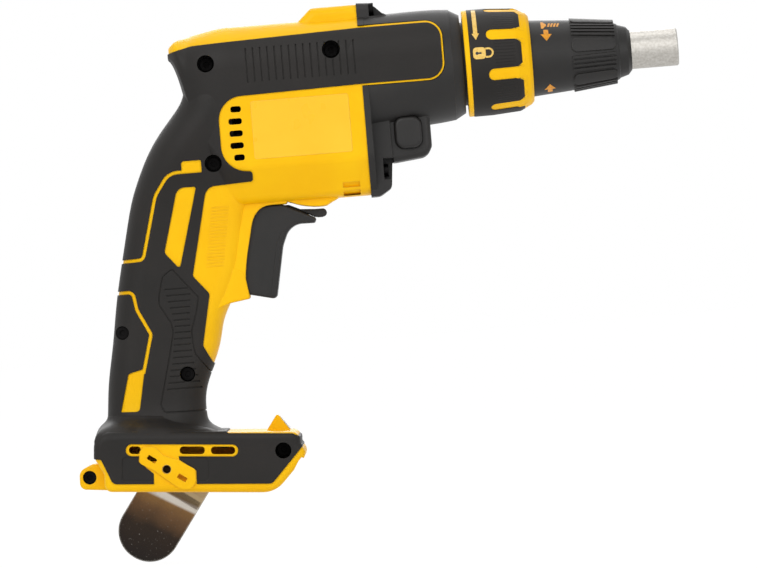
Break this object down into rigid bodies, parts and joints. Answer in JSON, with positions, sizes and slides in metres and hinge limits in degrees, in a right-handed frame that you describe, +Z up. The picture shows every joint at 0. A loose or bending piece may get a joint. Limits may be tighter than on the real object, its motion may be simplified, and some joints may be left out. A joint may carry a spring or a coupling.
{
  "type": "cordless drywall screwdriver",
  "caption": "Pistol-grip cordless drywall screwdriver with depth-setting nose, lock collar, dog clutch, brushless motor, trigger, slide-on battery foot and belt hook.",
  "frame": {"origin": "centre of the nose tube's mouth, on the spindle axis, with the depth adjuster mid-way", "axes": "+X forward along the spindle out of the nose, +Y to the tool's left, +Z up; the handle hangs towards -Z and the foot is tipped 4.8 degrees nose down"},
  "size_m": [0.3151, 0.0855, 0.2713],
  "materials": {
    "yellow_nylon": "fine moulded texture, satin",
    "black_overmould": "soft touch elastomer, matt",
    "black_nylon": "glass filled nylon, fine texture",
    "nose_steel": "turned, bare",
    "hook_steel": "polished plated spring steel",
    "screw_steel": "dark oxide",
    "machined_steel": "ground and machined",
    "bronze": "sintered, oil filled",
    "brass": "turned, knurled",
    "copper": "enamelled copper wire",
    "laminations": "stacked electrical steel",
    "die_cast": "die cast",
    "seal_rubber": "moulded lip seal",
    "controller_resin": "potted electronics",
    "board": "printed circuit board",
    "lens": "clear moulded lens"
  },
  "bodies": {
    "housing": {"right_housing_shell": "yellow_nylon", "left_housing_shell": "yellow_nylon", "right_grip_overmould": "black_overmould", "left_grip_overmould": "black_overmould", "gear_case": "black_nylon", "gear_case_cover": "die_cast", "housing_screws": "screw_steel", "gear_case_screws": "screw_steel", "spindle_bush": "bronze", "spindle_seal": "seal_rubber", "stator_core": "laminations", "stator_windings": "copper", "rear_bearing": "machined_steel", "front_bearing": "machined_steel", "trigger_switch": "black_nylon", "motor_controller": "controller_resin", "terminal_block": "black_nylon", "terminal_blades": "brass", "led_lens": "lens", "led_board": "board", "hook_inserts": "brass", "belt_hook": "hook_steel", "belt_hook_screw": "screw_steel", "clutch_spring": "machined_steel", "trigger_spring": "machined_steel"},
    "rotor": {"motor_shaft": "machined_steel", "rotor_core": "laminations", "motor_fan": "black_nylon", "motor_pinion": "machined_steel"},
    "drive_gear": {"drive_gear": "machined_steel"},
    "spindle_carriage": {"thrust_washer": "machined_steel"},
    "spindle": {"spindle": "machined_steel", "clutch_jaw": "machined_steel", "bit_holder": "machined_steel", "bit_holder_magnet": "laminations"},
    "trigger": {"trigger": "black_nylon", "lever_pin": "machined_steel"},
    "lock_lever": {"trigger_lock_lever": "black_nylon"},
    "reversing_button": {"reversing_button": "black_nylon"},
    "depth_adjuster": {"depth_adjuster": "black_nylon"},
    "nose_tube": {"nose_tube": "nose_steel"},
    "lock_collar": {"lock_collar": "yellow_nylon", "lock_collar_grips": "black_overmould"}
  },
  "joints": [
    {"name": "rotor_spin", "type": "hinge", "parent": "housing", "child": "rotor", "pos_m": [-0.2, 0, -0.0225], "axis": [1, 0, 0], "continuous": true},
    {"name": "drive_gear_spin", "type": "hinge", "parent": "housing", "child": "drive_gear", "pos_m": [-0.157, 0, 0], "axis": [1, 0, 0], "continuous": true},
    {"name": "spindle_press", "type": "slide", "parent": "housing", "child": "spindle_carriage", "axis": [-1, 0, 0], "range_m": [0, 0.004], "stiffness_N_per_m": 2000, "springref_m": -0.004, "deforming": ["clutch_spring"]},
    {"name": "spindle_spin", "type": "hinge", "parent": "spindle_carriage", "child": "spindle", "pos_m": [-0.1, 0, 0], "axis": [1, 0, 0], "continuous": true},
    {"name": "trigger_pull", "type": "slide", "parent": "housing", "child": "trigger", "axis": [-1, 0, 0], "range_m": [0, 0.008], "stiffness_N_per_m": 900, "springref_m": -0.004, "deforming": ["trigger_spring"]},
    {"name": "lock_lever_lift", "type": "hinge", "parent": "trigger", "child": "lock_lever", "pos_m": [-0.2061, 0, -0.0648], "axis": [0, -1, 0], "range_deg": [0, 3]},
    {"name": "reversing_slide", "type": "slide", "parent": "housing", "child": "reversing_button", "axis": [0, 1, 0], "range_m": [-0.003, 0.003]},
    {"name": "adjuster_turn", "type": "hinge", "parent": "housing", "child": "depth_adjuster", "pos_m": [-0.05, 0, 0], "axis": [1, 0, 0], "range_deg": [-270, 270]},
    {"name": "nose_tube_travel", "type": "slide", "parent": "housing", "child": "nose_tube", "axis": [1, 0, 0], "range_m": [-0.003, 0.003]},
    {"name": "lock_collar_turn", "type": "hinge", "parent": "housing", "child": "lock_collar", "pos_m": [-0.09, 0, 0], "axis": [1, 0, 0], "range_deg": [0, 45]}
  ],
  "couplings": [
    {"joint": "drive_gear_spin", "follows": "rotor_spin", "ratio": -0.25},
    {"joint": "nose_tube_travel", "follows": "adjuster_turn", "m_per_rad": 0.0006366}
  ]
}
